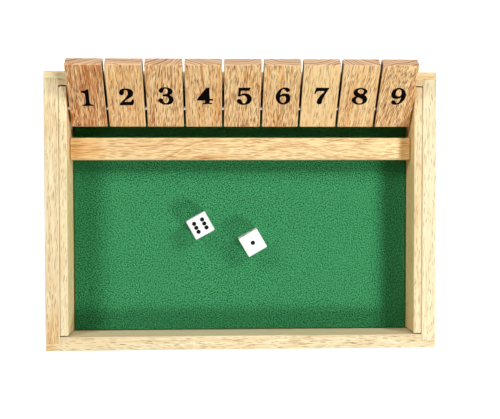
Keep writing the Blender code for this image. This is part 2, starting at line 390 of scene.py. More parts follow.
def bored_block(half_width, low, high, bore, edge, corner, chamfer, spokes=56):
    """A block with a hole right through it along X, as one grid that closes both ways.

    The columns are spokes round the hole's axis. The rows run from the block's outside,
    over the rounded edge, down the flat side, into the hole and back on the other side.
    The edge radius may differ from spoke to spoke and from side to side.
    """
    low, high = np.array(low), np.array(high)
    ways, signs = corner_ways(EDGE_STEPS)
    corners = np.where(signs > 0, high, low)
    rays = all_round(spokes)
    reach = np.where(rays > 0, high, -low) / np.abs(rays).clip(min=VANISHED)
    meets = reach.min(axis=1)[:, None] * rays
    flat = np.eye(2)[reach.argmin(axis=1)] * np.sign(rays)
    clear = 2 * corner + HOLD
    near_corner = ((meets < low + clear) | (meets > high - clear)).all(axis=1)
    base = np.vstack([corners, meets[~near_corner]])
    sign = np.vstack([signs, flat[~near_corner]])
    way = np.vstack([ways, flat[~near_corner]])
    first = base - corner * (sign - way)
    order = np.argsort(np.arctan2(first[:, 1], first[:, 0]))
    base, sign, way, first = base[order], sign[order], way[order], first[order]
    spoke = np.arctan2(first[:, 1], first[:, 0])
    spoke = np.stack([np.cos(spoke), np.sin(spoke)], axis=1)

    def ring(inset):
        radius = np.maximum(corner - inset, corner * LEAST_CORNER)[..., None]
        return base - inset[..., None] * sign - radius * (sign - way)

    halves = []
    for side in (1, -1):
        radius = edge(side, first) if callable(edge) else np.full(len(first), edge)
        across = [half_width - radius - HOLD]
        rings = [ring(np.zeros(len(first)))]
        for cosine, sine in zip(*bend(EDGE_STEPS)):
            across.append(half_width - radius * (1 - sine))
            rings.append(ring(radius * (1 - cosine)))
        across.append(np.full(len(first), half_width))
        rings.append(ring(radius + HOLD))
        for depth, rim in ((0, chamfer + HOLD), (0, chamfer), (chamfer, 0), (chamfer + HOLD, 0)):
            across.append(np.full(len(first), half_width - depth))
            rings.append((bore + rim) * spoke)
        half = np.dstack([side * np.array(across), np.array(rings)])
        halves.append(half if side > 0 else half[::-1])
    return np.vstack(halves)


def turned_bar(name, half_length, radius, chamfer, sides):
    """A round bar along X, as a chamfered profile carried round its axis."""
    along = np.array([half_length, half_length, half_length - chamfer])
    around = np.array([radius - chamfer - HOLD, radius - chamfer, radius])
    along = np.concatenate([-along, along[::-1]])
    around = np.concatenate([around, around[::-1]])
    return surface(name, np.roll(turned(around, along, sides), 1, axis=-1))


def pulled_sphere(name, half, radius, steps=7):
    """A cube with round edges, as a small sphere's grid pulled apart to the cube's corners.

    Every point is the radius times its own direction, plus the cube's inner corner on
    that side. Where the sphere was cut, the gap becomes the flat faces.
    """
    core = half - radius
    held = 1 - HOLD / core
    quarter = np.linspace(0, RIGHT_ANGLE, steps + 1)
    around, spread = [], []
    for turn, (here, after) in enumerate(zip(CORNERS, np.roll(CORNERS, -1, axis=0))):
        across = np.where(here == after, here, 0)
        around += [*(quarter + turn * RIGHT_ANGLE), *[(turn + 1) * RIGHT_ANGLE] * 2]
        spread += [here] * (steps + 1)
        spread += [across + (here - across) * held, across + (after - across) * held]
    around, spread = np.array(around), np.array(spread)
    rise = np.concatenate([[-RIGHT_ANGLE], quarter - RIGHT_ANGLE, [0, 0], quarter, [RIGHT_ANGLE]])
    level = np.concatenate([[-1] * (steps + 2), [-held, held], [1] * (steps + 2)])
    reach = np.ones(len(rise))
    reach[[0, -1]] = held
    points = np.empty((len(rise), len(around), 3))
    points[..., 0] = radius * np.outer(np.cos(rise), np.cos(around))
    points[..., 1] = radius * np.outer(np.cos(rise), np.sin(around))
    points[..., :2] += core * reach[:, None, None] * spread
    points[..., 2] = (radius * np.sin(rise) + core * level)[:, None]
    return surface(name, points)


def felt_surface(name, low, high, spacing, nap, tuck):
    """The felt mat, as a grid whose height wanders and whose border is pressed down.

    The wandering is seeded noise, smoothed by averaging neighbours a few times. Near the
    border the grid's lines crowd together, and the height falls by half a sine wave.
    """
    noise_shape = [int((high[axis] - low[axis]) / spacing) for axis in (1, 0)]
    noise = np.random.default_rng(NAP_SEED).normal(size=noise_shape)
    for _ in range(NAP_SMOOTHINGS):
        for axis in (0, 1):
            noise = (np.roll(noise, 1, axis) + noise + np.roll(noise, -1, axis)) / 3
    noise = (noise - noise.max()) / np.ptp(noise)
    lines = []
    for axis, count in zip((1, 0), noise_shape):
        inner = np.linspace(low[axis] + tuck, high[axis] - tuck, count - 2 * TUCK_STEPS)
        rim = tuck * np.linspace(0, 1, TUCK_STEPS, endpoint=False)
        lines.append(np.concatenate([low[axis] + rim, inner, (high[axis] - rim)[::-1]]))
    along, across = (np.minimum(line - line[0], line[-1] - line) for line in lines)
    depth = np.minimum(along[:, None], across)
    pressed = tuck * TUCK_DEPTH * (1 - np.sin((depth / tuck).clip(max=1) * RIGHT_ANGLE))
    rows, columns = (np.pad(line, 1, "edge") for line in lines)
    points = np.full((len(rows), len(columns), 3), low.z)
    points[..., 0] = columns
    points[..., 1] = rows[:, None]
    points[1:-1, 1:-1, 2] = high.z + nap * noise - pressed
    mesh = surface(name, points, close_columns=False, caps=False)
    shape = bmesh.new()
    shape.from_mesh(mesh)
    open_edges = [edge for edge in shape.edges if edge.is_boundary]
    bmesh.ops.holes_fill(shape, edges=open_edges, sides=0)
    shape.to_mesh(mesh)
    shape.free()
    return close_seams(mesh, 60)


# Numbers, in hundredths of their height, as stretches of smooth curve that meet at corners

SIX = (
    (
        (30, 94), (33, 86), (29, 78), (22, 75), (15, 78), (11, 85), (6, 91.5), (1, 93),
        (-5, 90), (-10, 82), (-13.5, 71), (-16, 57),
    ),
    (
        (-16, 55), (-7, 61.5), (4, 65), (16, 65), (27, 61), (35, 52), (38.5, 40), (38.5, 31),
        (35, 18), (27, 7.5), (15, 0), (2, -2), (-10, 0.5), (-22, 8), (-31, 19), (-37, 34),
        (-38.5, 47), (-36, 62), (-30, 76), (-21, 88), (-11, 96.5), (0, 101), (11, 102), (22, 100),
    ),
)
SIX_HOLE = (
    (
        (-16.5, 34), (-15, 43), (-8, 49), (2, 50.5), (11, 48), (16, 39), (16.5, 28),
        (13, 14.5), (6, 7.5), (-2, 6.5), (-9, 11), (-14.5, 22),
    ),
)


def half_turned(outline):
    """An outline turned upside down, as a 6 becomes a 9."""
    return tuple(tuple((-x, 100 - y) for x, y in stretch) for stretch in outline)


NUMBER_OUTLINES = {
    1: (
        (
            ((-29, 0),),
            ((29, 0),),
            ((29, 4), (20, 7), (13, 11.5), (10, 19)),
            ((10, 100),),
            ((-1, 100), (-6, 95), (-15, 92), (-28, 90)),
            ((-28, 81), (-20, 80.5), (-13, 77), (-10, 69)),
            ((-10, 19), (-13, 11.5), (-20, 7), (-29, 4)),
        ),
    ),
    2: (
        (
            ((-37, 0),),
            (
                (-37, 9), (-29, 18), (-18, 29.5), (-6, 42.5), (3, 55), (9, 68), (9.5, 80),
                (5, 90), (-2, 93.5), (-9, 91), (-11, 84), (-11.5, 75), (-15, 66), (-22, 62),
                (-30, 64), (-35.5, 72), (-35, 83), (-28, 94), (-15, 100.5), (0, 102),
                (15, 100.5), (28, 94), (35, 84), (36, 72), (32, 59), (22, 49), (8, 39.5), (-4, 31),
            ),
            ((-13, 21.5), (-3, 20), (8, 19.5), (19, 21), (25, 26), (29, 35)),
            ((36.5, 35), (37, 22), (34.5, 9)),
            ((30, 0),),
        ),
    ),
    3: (
        (
            (
                (20, 57), (32, 47), (38.5, 34), (38, 21), (31, 9), (18, 0.5), (3, -2),
                (-12, -0.5), (-27, 6.5), (-36, 16.5), (-38, 25), (-34, 33), (-26, 35),
                (-18, 31.5), (-15, 22), (-12, 12.5), (-5, 7), (3, 7), (11, 13.5), (15.5, 26),
                (14, 38), (8, 46), (0, 49),
            ),
            ((-15, 49), (-17, 54.5), (-15, 60)),
            (
                (-3, 60.5), (6, 64.5), (11, 74), (11.5, 84), (8, 93), (2, 97), (-5, 96),
                (-10, 89.5), (-13, 80), (-18, 73), (-25, 71), (-32, 75), (-35.5, 83),
                (-32, 92.5), (-22, 100.5), (-10, 103.5), (3, 103.5), (16, 101), (28, 94),
                (35.5, 84), (36, 74), (30, 65.5),
            ),
        ),
    ),
    4: (
        (
            ((-40, 22),),
            ((0.5, 22),),
            ((0.5, 6),),
            ((-11, 6),),
            ((-11, 0),),
            ((36, 0),),
            ((36, 6),),
            ((23, 6),),
            ((23, 22),),
            ((41, 22),),
            ((41, 31),),
            ((23, 31),),
            ((23, 100),),
            ((8, 100),),
            ((-40, 31),),
        ),
        (
            ((0, 31.5),),
            ((0, 67),),
            ((-26, 31.5),),
        ),
    ),
    5: (
        (
            ((-29, 103),),
            ((-33, 50),),
            (
                (-22, 50), (-15, 55), (-6, 57.5), (3, 55.5), (10, 48), (14, 37), (13.5, 24),
                (9, 13), (3, 7), (-4, 7), (-10, 13), (-13.5, 22.5), (-18, 30.5), (-26, 34),
                (-34, 31), (-38.5, 23), (-36, 13.5), (-28, 5.5), (-16, 0), (-3, -1.5),
                (10, -0.5), (23, 5), (33, 15.5), (38.5, 29), (38.5, 42), (32, 55), (21, 64),
                (7, 68), (-6, 67), (-17, 63),
            ),
            ((-23, 59.5),),
            ((-20.5, 81), (-16, 85)),
            ((26, 85),),
            ((32, 103),),
        ),
    ),
    6: (SIX, SIX_HOLE),
    7: (
        (
            ((-30, 100),),
            ((-37, 62),),
            ((-32, 62), (-28, 72), (-22, 79), (-13, 81)),
            (
                (17, 81), (9, 68.5), (-4, 52), (-14, 35), (-19.5, 20), (-19, 6), (-12, -0.5),
                (-5, -1.5), (2, 1), (5.5, 9), (6.5, 22), (10, 36), (18, 56), (27, 76), (33, 88),
            ),
            ((37, 93),),
            ((37, 100),),
        ),
    ),
    8: (
        (
            ((2, 101.5), (16, 99), (29, 92), (35, 80.5), (33.5, 70)),
            (
                (22, 58.5), (33, 48.5), (40, 35), (40, 24), (34, 11), (22, 2.5), (8, -1.5),
                (-7, -1.5), (-22, 3.5), (-34, 13), (-40, 25), (-38, 36), (-30, 44.5),
            ),
            ((-21, 48.5), (-30, 58), (-34.5, 69), (-34, 81), (-26, 92.5), (-13, 99.5)),
        ),
        (
            (
                (2, 94), (12, 91), (18, 82), (17.5, 73), (12, 65), (6, 63), (-4, 67.5),
                (-12, 74), (-14, 81), (-11, 89),
            ),
        ),
        (
            (
                (-10, 42.5), (0, 40), (12, 33.5), (18, 24), (18, 15), (11, 7), (1, 4.5),
                (-9, 7.5), (-17, 16), (-19, 27), (-16, 37),
            ),
        ),
    ),
    9: (half_turned(SIX), half_turned(SIX_HOLE)),
}
# How far each number was stamped right of its tile's middle and above the common foot
# line, as shares of its height
NUMBER_SHIFT_SHARES = (
    (0.056, -0.097),
    (0.052, -0.05),
    (0.066, 0.011),
    (0.068, 0.03),
    (0.09, 0.003),
    (0.092, 0.035),
    (0.062, 0.045),
    (0.066, 0.034),
    (0.074, 0.034),
)


def smooth_run(points, closed, steps=8):
    """A smooth curve through points, as a centripetal Catmull-Rom spline.

    Between two points the curve blends the straight lines through them and their
    neighbours, with knots spaced by the square root of the distance.
    """
    points = np.array(points, float)
    if len(points) < 3 and not closed:
        return points
    if closed:
        points = np.vstack([points[-1], points, points[:2]])
    else:
        ends = 2 * points[[0, -1]] - points[[1, -2]]
        points = np.vstack([ends[0], points, ends[1]])
    gaps = np.linalg.norm(np.diff(points, axis=0), axis=1) ** 0.5
    knots = np.concatenate([[0], np.cumsum(gaps)])
    count = len(points) - 3
    t = [knots[i : count + i, None, None] for i in range(4)]
    p = [points[i : count + i, None, :] for i in range(4)]
    here = t[1] + (t[2] - t[1]) * np.linspace(0, 1, steps, endpoint=False)[None, :, None]

    def blend(first, second, start, end):
        return ((end - here) * first + (here - start) * second) / (end - start)

    lines = [blend(p[i], p[i + 1], t[i], t[i + 1]) for i in range(3)]
    curves = [blend(lines[i], lines[i + 1], t[i], t[i + 2]) for i in range(2)]
    return blend(*curves, t[1], t[2]).reshape(-1, 2)


def outline_points(stretches):
    """A closed outline: its smooth stretches, each up to the corner where the next begins."""
    if len(stretches) == 1:
        return smooth_run(stretches[0], closed=True)
    runs = []
    for stretch, after in zip(stretches, stretches[1:] + stretches[:1]):
        run = smooth_run((*stretch, after[0]), closed=False)
        runs.append(run if len(stretch) > 1 else run[:1])
    return np.vstack(runs)


def run_out(outline, spread, sharpest=0.3, kept=0.9):
    """An outline moved outwards by the same distance all along.

    Each side moves square to itself, and each point goes to where its two sides meet,
    or less far at the sharpest corners. Points that end up nearer to the old outline
    than the kept part of that distance, as in a notch, are left out.
    """
    sides = np.roll(outline, -1, axis=0) - outline
    lengths = np.linalg.norm(sides, axis=1)
    area = (outline[:, 0] * sides[:, 1] - outline[:, 1] * sides[:, 0]).sum()
    after = np.stack([sides[:, 1], -sides[:, 0]], axis=1) / lengths[:, None]
    after *= math.copysign(1, area)
    before = np.roll(after, 1, axis=0)
    meeting = (1 + (before * after).sum(axis=1)).clip(min=sharpest)
    moved = outline + spread * (before + after) / meeting[:, None]
    away = moved[:, None] - outline
    run = ((away * sides).sum(axis=-1) / lengths**2).clip(0, 1)
    gaps = np.linalg.norm(away - run[..., None] * sides, axis=-1).min(axis=1)
    return moved[gaps > kept * abs(spread)]


def paint_film(name, outlines, low, high, place, same_point=1e-5):
    """A thin flat film of paint, with its outlines' sides and both its faces.

    The faces are the triangles between the outlines' points, as a constrained Delaunay
    mesh in millimetres, whose middles lie inside an odd number of the outlines.
    """
    starts = np.cumsum([0] + [len(outline) for outline in outlines])
    sides = [
        np.stack([np.arange(len(outline)), np.roll(np.arange(len(outline)), -1)], axis=1) + start
        for outline, start in zip(outlines, starts)
    ]
    sides = np.vstack(sides)
    flat = np.vstack(outlines) / MM
    corners = [Vector(point) for point in flat]
    filled = delaunay_2d_cdt(corners, sides.tolist(), [], 0, same_point)
    flat, triangles = np.array(filled[0]), np.array(filled[2])
    sides = np.array(filled[1])[[len(source) > 0 for source in filled[4]]]
    middles = flat[triangles].mean(axis=1)
    (x, y), (x_after, y_after) = flat[sides[:, 0]].T, flat[sides[:, 1]].T
    across = (y > middles[:, 1:]) != (y_after > middles[:, 1:])
    level = np.where(y == y_after, 1, y_after - y)
    meets = x + (middles[:, 1:] - y) * (x_after - x) / level
    inside = (across & (middles[:, :1] < meets)).sum(axis=1) % 2 == 1
    triangles = triangles[inside]
    count = len(flat)
    edges = triangles[:, [0, 1, 1, 2, 2, 0]].reshape(-1, 2)
    rim = edges[~np.isin(edges[:, 1] * count + edges[:, 0], edges[:, 0] * count + edges[:, 1])]
    rim = np.hstack([rim, rim[:, ::-1] + count]).tolist()
    points = np.vstack([np.column_stack([flat * MM, np.full(count, z)]) for z in (low, high)])
    mesh = bpy.data.meshes.new(name)
    both = np.vstack([triangles[:, ::-1], triangles + count]).tolist()
    mesh.from_pydata(place(points).tolist(), [], rim + both)
    return close_seams(mesh)


# Finishes

# Where a stroke fades out, from its cell's middle, which part of the strokes is faint,
# and how far the pattern is sheared across the grain and up
STROKE_RIM, FAINT_PART, STROKE_SHEAR = (0.4, 0.26), 0.3, (7.3, 5.9)


class Finish:
    """A material under construction, whose nodes are added and linked by what they work out."""

    def __init__(self, name):
        self.material = bpy.data.materials.new(name)
        self.material.use_nodes = True
        self.tree = self.material.node_tree

    def feed(self, socket, value):
        """Links a node's output to the socket, or sets the socket to a plain value."""
        if isinstance(value, bpy.types.NodeSocket):
            self.tree.links.new(value, socket)
        else:
            socket.default_value = value

    def made(self, inputs):
        """The finished material, with these inputs of its shader."""
        shader = self.tree.nodes["Principled BSDF"]
        for name, value in inputs.items():
            self.feed(shader.inputs[name], value)
        return self.material

    def node(self, kind, inputs, **settings):
        """A new node with these inputs and settings."""
        made = self.tree.nodes.new(f"ShaderNode{kind}")
        for name, value in settings.items():
            setattr(made, name, value)
        for key, value in inputs.items():
            self.feed(made.inputs[key], value)
        return made

    def sum(self, operation, *values):
        """What an operation of the Math node gives for the values."""
        return self.node("Math", dict(enumerate(values)), operation=operation).outputs[0]

    def vector(self, operation, *values):
        """What an operation of the Vector Math node gives for the values."""
        made = self.node("VectorMath", dict(enumerate(values)), operation=operation)
        return made.outputs["Value" if operation == "LENGTH" else "Vector"]

    def parts(self, where):
        """A vector's three parts."""
        return self.node("SeparateXYZ", {0: where}).outputs

    def mark(self, name):
        """A mark that the mesh carries."""
        return self.node("Attribute", {}, attribute_name=name).outputs["Fac"]

    def noise(self, where, scales, detail=2, roughness=0.5, output=0):
        """Noise whose lumps are one unit long, divided by the scale along each axis.

        Its colour output holds three unlike noises at once.
        """
        stretched = self.vector("MULTIPLY", where, scales)
        inputs = {"Vector": stretched, "Scale": 1, "Detail": detail, "Roughness": roughness}
        return self.node("TexNoise", inputs).outputs[output]

    def strokes(self, where, scales, part):
        """Short strokes along X, one in each cell of a stretched Voronoi pattern.

        A stroke is the cell's middle, up to a distance. Each cell has a random number of
        its own, and only the strokes whose number is within the part show, some faintly.
        The pattern is sheared along X, so that no strokes end in line.
        """
        _, across, up = self.parts(where)
        shear = self.sum("MULTIPLY", up, STROKE_SHEAR[1])
        shear = self.sum("MULTIPLY_ADD", across, STROKE_SHEAR[0], shear)
        where = self.vector("ADD", where, self.node("CombineXYZ", {0: shear}).outputs[0])
        stretched = self.vector("MULTIPLY", where, scales)
        cells = self.node("TexVoronoi", {"Vector": stretched, "Scale": 1}).outputs
        stroke = self.between(cells["Distance"], *STROKE_RIM)
        shown = self.between(self.parts(cells["Color"])[0], 1 - part, 1 + FAINT_PART - part)
        return self.sum("MULTIPLY", stroke, shown)

    def line_noise(self, where, scale, detail=2, roughness=0.5):
        """Noise along a single measure."""
        inputs = {"W": where, "Scale": scale, "Detail": detail, "Roughness": roughness}
        return self.node("TexNoise", inputs, noise_dimensions="1D").outputs[0]

    def between(self, value, low, high):
        """Zero up to low, one from high on, and smooth between."""
        inputs = {"Value": value, "From Min": low, "From Max": high}
        made = self.node("MapRange", inputs, interpolation_type="SMOOTHSTEP")
        return made.outputs["Result"]

    def ramp(self, value, stops):
        """The tone at a value, between stops that are each a place and its tone."""
        made = self.node("ValToRGB", {0: value})
        elements = made.color_ramp.elements
        while len(elements) < len(stops):
            elements.new(0)
        for element, (place, tone) in zip(elements, stops):
            element.position = place
            element.color = (*tone, 1)
        return made.outputs["Color"]

    def mix(self, share_of_second, first, second, blend="MIX"):
        """Two colours mixed, with that share of the second."""
        inputs = {0: share_of_second, 6: first, 7: second}
        made = self.node("Mix", inputs, data_type="RGBA", blend_type=blend)
        return made.outputs[2]

    def place(self, centre=(0, 0, 0), turn=ALONG_X):
        """A piece's own coordinates in millimetres, with X along its grain."""
        inputs = {
            "Vector": self.node("TexCoord", {}).outputs["Object"],
            "Location": centre,
            "Rotation": turn.to_euler("XYZ"),
            "Scale": (MM, MM, MM),
        }
        return self.node("Mapping", inputs, vector_type="TEXTURE").outputs[0]

    def bump(self, height, distance, strength):
        """The normal of a surface with that relief, whose distance is in metres."""
        inputs = {"Height": height, "Distance": distance, "Strength": strength}
        return self.node("Bump", inputs).outputs[0]


def blended(first, second, part):
    """A tone between two, with that part of the second."""
    return tuple(a + (b - a) * part for a, b in zip(first, second))


@dataclass
class Wood:
    """The tones of one kind of wood, on its faces and on its sawn ends.

    A pore's usual size is its length along the grain and its width, in millimetres.
    """

    pale: tuple
    deep: tuple
    warm: tuple
    pores: tuple
    sawn_pale: tuple
    sawn_deep: tuple
    # The colour of the painted shade on sides in a gap
    painted_shade: tuple = BLACK
    roughness: float = 0.55
    pore_size: tuple = (11, 0.8)


@dataclass
class Cut:
    """How one piece of wood was sawn: where it lies, its grain, and how its figure shows.

    The heart is where the tree's middle would be, in millimetres from the piece's middle,
    across and up. The slants are how far the grain runs out of the piece's length, in its
    face and down into it, in degrees. The figures are how strongly each mark shows.
    A swell moves the rings sideways from one place along the piece to the next, and a
    drift changes the tone and the warmth between two places along it (0) or across it (1);
    some drifts are painted light or painted shade. Shaded sides are sides painted dark as
    the shade in a gap, to the left (1) or right (-1) of the grain, each with how far from
    the piece's middle it begins.
    """

    centre: tuple
    turn: Matrix
    seed: int
    heart: tuple = (12, -60)
    slants: tuple = (0, 0)
    ring_gap: float = 2.6
    rings: float = 0.2
    bands: float = 0.3
    streaks: float = 0.6
    lines: float = 0.5
    pores: float = 0.5
    hairs: float = 0.6
    warmth: float = 0.4
    tone: float = 0.0
    sway: float = 3.5
    swells: tuple = ()
    drift: tuple = ()
    shaded_sides: tuple = ()


# How many lumps of each figure there are to a millimetre, along the grain and across it
SWAY_LUMPS = (0.014, 0.05, 0.05)
STREAK_LUMPS = (0.02, 0.5, 0.5)
LINE_LUMPS = (0.028, 1.5, 1.5)
PATCH_LUMPS = (0.011, 0.24, 0.24)
HAIR_LUMPS = (0.12, 1.9, 1.9)
# The same outwards from the heart, for the rings' uneven gaps and for the bands
RING_LUMPS, BAND_LUMPS = 0.35, 0.3
# How much of a ring the dark late wood takes up: the higher the narrower
LATE_POWER = 2.2
# How far apart two pieces of wood lie in the noise for each step of the seed
SEED_STEPS = (61.7, 23.9, 37.3)
# Where each mark begins and where it is full: the warm patches, the painted highlight on
# rounded edges, the painted shade on sides in a gap, and the sawn ends
WARM_REACH, HIGHLIGHT_REACH = (0.47, 0.62), (0.01, 0.15)
SHADE_REACH, SAWN_REACH = (0.8, 0.97), (0.3, 0.85)
# How dark a hair is beside a pore, how pale the painted highlight on a rounded edge gets,
# and how far the end of a side's painted shade fades, in millimetres
HAIR_PART, HIGHLIGHT_PART, SHADE_FADE = 0.8, 0.5, 0.1


def shifted(finish, tone, mark, part):
    """The tone moved by a mark that swings about a half."""
    away = finish.sum("SUBTRACT", mark, 0.5)
    return finish.sum("MULTIPLY_ADD", away, 2 * part, tone)


def wood(name, kind, cut):
    """Solid wood: rings round the tree's heart, long streaks, fine lines and open pores.

    The tone is the sum of the rings' saw-tooth, wide bands that follow the rings, and
    noise stretched along the grain at two widths. Warm patches lie over it, and so do
    pores and finer hairs, which are short dark strokes along the grain. Rounded edges are
    painted pale as a highlight, sides in a gap are painted dark as shade, and sawn ends
    show the rings and the fine lines.
    """
    finish = Finish(name)
    slants = Matrix.Rotation(math.radians(cut.slants[0]), 3, "Z")
    slants @= Matrix.Rotation(math.radians(cut.slants[1]), 3, "Y")
    place = finish.place(cut.centre, cut.turn @ slants)
    parts = finish.parts(place)
    seeded = finish.vector("ADD", place, tuple(cut.seed * step for step in SEED_STEPS))
    sway = finish.noise(seeded, SWAY_LUMPS, detail=1, output="Color")
    sway = finish.vector("SUBTRACT", sway, (0.5, 0.5, 0.5))
    sway = finish.vector("MULTIPLY", sway, (0, 2 * cut.sway, 2 * cut.sway))
    wavy = finish.vector("ADD", seeded, sway)
    for start, end, amount in cut.swells:
        swell = finish.sum("MULTIPLY", finish.between(parts[0], start, end), -amount)
        sway = finish.vector("ADD", sway, finish.node("CombineXYZ", {1: swell}).outputs[0])
    from_heart = finish.vector("SUBTRACT", finish.vector("ADD", place, sway), (0, *cut.heart))
    radius = finish.vector("LENGTH", finish.vector("MULTIPLY", from_heart, (0, 1, 1)))
    wander = finish.line_noise(radius, RING_LUMPS, detail=1)
    turns = finish.sum("ADD", finish.sum("DIVIDE", radius, cut.ring_gap), wander)
    late = finish.sum("POWER", finish.sum("FRACT", turns), LATE_POWER)
    bands = finish.line_noise(radius, BAND_LUMPS, detail=3, roughness=0.6)
    streaks = finish.noise(wavy, STREAK_LUMPS, detail=3, roughness=0.6)
    lines = finish.noise(wavy, LINE_LUMPS, detail=2, roughness=0.7)
    tone = finish.sum("MULTIPLY_ADD", late, -cut.rings, 0.5 + cut.tone + 0.3 * cut.rings)
    for mark, part in ((bands, cut.bands), (streaks, cut.streaks), (lines, cut.lines)):
        tone = shifted(finish, tone, mark, part)
    patches = finish.noise(wavy, PATCH_LUMPS)
    warm = finish.sum("MULTIPLY", finish.between(patches, *WARM_REACH), cut.warmth)
    for axis, start, end, tone_part, warm_part in cut.drift:
        reach = finish.between(parts[axis], start, end)
        tone = finish.sum("MULTIPLY_ADD", reach, tone_part, tone)
        warm = finish.sum("MULTIPLY_ADD", reach, warm_part, warm)
    middle = blended(kind.deep, kind.pale, 0.6)
    body = finish.ramp(tone, ((0.05, kind.deep), (0.5, middle), (0.95, kind.pale)))
    body = finish.mix(warm, body, (*kind.warm, 1), blend="MULTIPLY")
    long, wide = kind.pore_size
    dashes = finish.strokes(wavy, (1 / long, 1 / wide, 1 / wide), cut.pores)
    hairs = finish.strokes(seeded, HAIR_LUMPS, cut.hairs)
    open_pores = finish.sum("MAXIMUM", dashes, finish.sum("MULTIPLY", hairs, HAIR_PART))
    body = finish.mix(open_pores, body, (*kind.pores, 1))
    # Painted highlight: the rounded edges turn pale
    highlight = finish.between(finish.mark("rounded_edge"), *HIGHLIGHT_REACH)
    body = finish.mix(finish.sum("MULTIPLY", highlight, HIGHLIGHT_PART), body, (*kind.pale, 1))
    # Painted shade: sides in a gap turn dark
    side = finish.mark("side_face")
    for way, start in cut.shaded_sides:
        in_shade = finish.between(finish.sum("MULTIPLY", side, way), *SHADE_REACH)
        away = finish.between(finish.sum("ABSOLUTE", parts[0]), start - SHADE_FADE, start)
        body = finish.mix(finish.sum("MULTIPLY", in_shade, away), body, (*kind.painted_shade, 1))
    sawn = finish.between(finish.mark("end_grain"), *SAWN_REACH)
    ends = ((0, kind.sawn_pale), (0.8, kind.sawn_deep))
    body = finish.mix(sawn, body, finish.ramp(shifted(finish, late, lines, 0.5), ends))
    relief = finish.sum("MULTIPLY_ADD", lines, 0.5, finish.sum("MULTIPLY", open_pores, -1))
    return finish.made(
        {
            "Base Color": body,
            "Roughness": finish.sum("MULTIPLY_ADD", lines, -0.15, kind.roughness + 0.075),
            "Specular IOR Level": 0.25,
            "Normal": finish.bump(relief, distance=0.00008, strength=0.7),
        }
    )


# Where the felt is painted darker as shade along its borders: along which axis, from
# where on and up to where it grows, in millimetres, and by how much
BORDER_SHADE = ((0, -94, -116, 0.26), (0, 96, 110, 0.12), (1, 16, 32, 0.16), (1, -68, -90, 0.13))
# The same painted shade in the pressed rim, downwards from the felt's top
RIM_SHADE = (0.2, 0.5, 0.3)
# Where the felt under the tiles, painted nearly black as shade, begins and is full, in
# millimetres, and its part
TILE_SHADE_REACH, TILE_SHADE_PART = (65, 67.5), 0.95


def felt_finish():
    """Felt: fine specks and small knots of matted fibres, over slow patches.

    A knot is a cell of a flat Voronoi pattern, lightest in its middle. The felt is painted
    darker as shade along its borders and in its pressed rim, and painted nearly black as
    shade where the tiles hide it.
    """
    settings = look("felt")
    finish = Finish("green felt")
    place = finish.place()
    patches = finish.noise(place, (0.05, 0.05, 0.05), detail=3, roughness=0.55)
    specks = finish.noise(place, (2.4, 2.5, 2.5), detail=1, roughness=0.8)
    aslant = finish.place(turn=Matrix.Rotation(0.5, 3, "Z"))
    cells = {"Vector": aslant, "Scale": 1.0, "Randomness": 0.85}
    knots = finish.node("TexVoronoi", cells, voronoi_dimensions="2D").outputs["Distance"]
    knots = finish.between(knots, 0.7, 0.05)
    tone = 0.5
    for mark, part in ((patches, 0.03), (specks, 1.4), (knots, 0.44)):
        tone = shifted(finish, tone, mark, part)
    parts = finish.parts(place)
    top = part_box("felt_mat")[1].z / MM
    start, end, part = RIM_SHADE
    rim = (2, top - start, top - end, part)
    # Painted shade: darker along the borders and in the pressed rim
    for axis, start, end, part in (*BORDER_SHADE, rim):
        tone = finish.sum("MULTIPLY_ADD", finish.between(parts[axis], start, end), -part, tone)
    stops = ((0.12, settings.deep), (0.5, settings.green), (0.88, settings.pale))
    # Painted shade: nearly black where the tiles hide the felt
    tile_shade = finish.sum("MULTIPLY", finish.between(parts[1], *TILE_SHADE_REACH), TILE_SHADE_PART)
    dark = (*blended(settings.deep, BLACK, 0.8), 1)
    return finish.made(
        {
            "Base Color": finish.mix(tile_shade, finish.ramp(tone, stops), dark),
            "Roughness": 0.95,
            "Specular IOR Level": 0.15,
            "Sheen Weight": 0.06,
            "Sheen Roughness": 0.6,
            "Normal": finish.bump(tone, distance=0.0003, strength=0.8),
        }
    )


def steel_finish():
    """Drawn steel: fine scratches along the rod and a faint change of polish."""
    finish = Finish("steel")
    place = finish.place()
    scratches = finish.noise(place, (0.05, 9, 9), detail=3, roughness=0.6)
    polish = finish.noise(place, (0.2, 0.8, 0.8))
    steel = look("rod").steel
    dull = blended(steel, BLACK, 0.25)
    return finish.made(
        {
            "Base Color": finish.ramp(scratches, ((0.2, dull), (0.8, steel))),
            "Metallic": 1,
            "Roughness": finish.sum("ADD", 0.2, finish.sum("MULTIPLY", polish, 0.2)),
            "Normal": finish.bump(scratches, distance=0.00001, strength=0.5),
        }
    )


def plastic_finish(name, tone, roughness, grain, gloss=0.5):
    """Moulded plastic: one tone with a faint mottle, and a polish that varies a little."""
    finish = Finish(name)
    place = finish.place()
    mottle = finish.noise(place, (0.35, 0.35, 0.35), detail=3)
    fine = finish.noise(place, (1.5, 1.5, 1.5))
    stops = ((0.3, blended(tone, BLACK, grain)), (0.7, tuple(tone)))
    return finish.made(
        {
            "Base Color": finish.ramp(mottle, stops),
            "Roughness": finish.sum("ADD", roughness, finish.sum("MULTIPLY", mottle, 0.12)),
            "Specular IOR Level": gloss,
            "Normal": finish.bump(fine, distance=0.00002, strength=0.3),
        }
    )


def paint_finish():
    """Stamped black paint: thin enough to let the wood's pores dull it here and there."""
    finish = Finish("black paint")
    wear = finish.noise(finish.place(), (1.8, 1.2, 1.2), detail=4, roughness=0.7)
    black = look("number").black
    faded = tuple(channel * 2.4 for channel in black)
    return finish.made(
        {
            "Base Color": finish.ramp(wear, ((0.5, tuple(black)), (0.85, faded))),
            "Roughness": finish.sum("ADD", 0.6, finish.sum("MULTIPLY", wear, 0.3)),
            "Specular IOR Level": 0.04,
            "Normal": finish.bump(wear, distance=0.00003, strength=0.5),
        }
    )


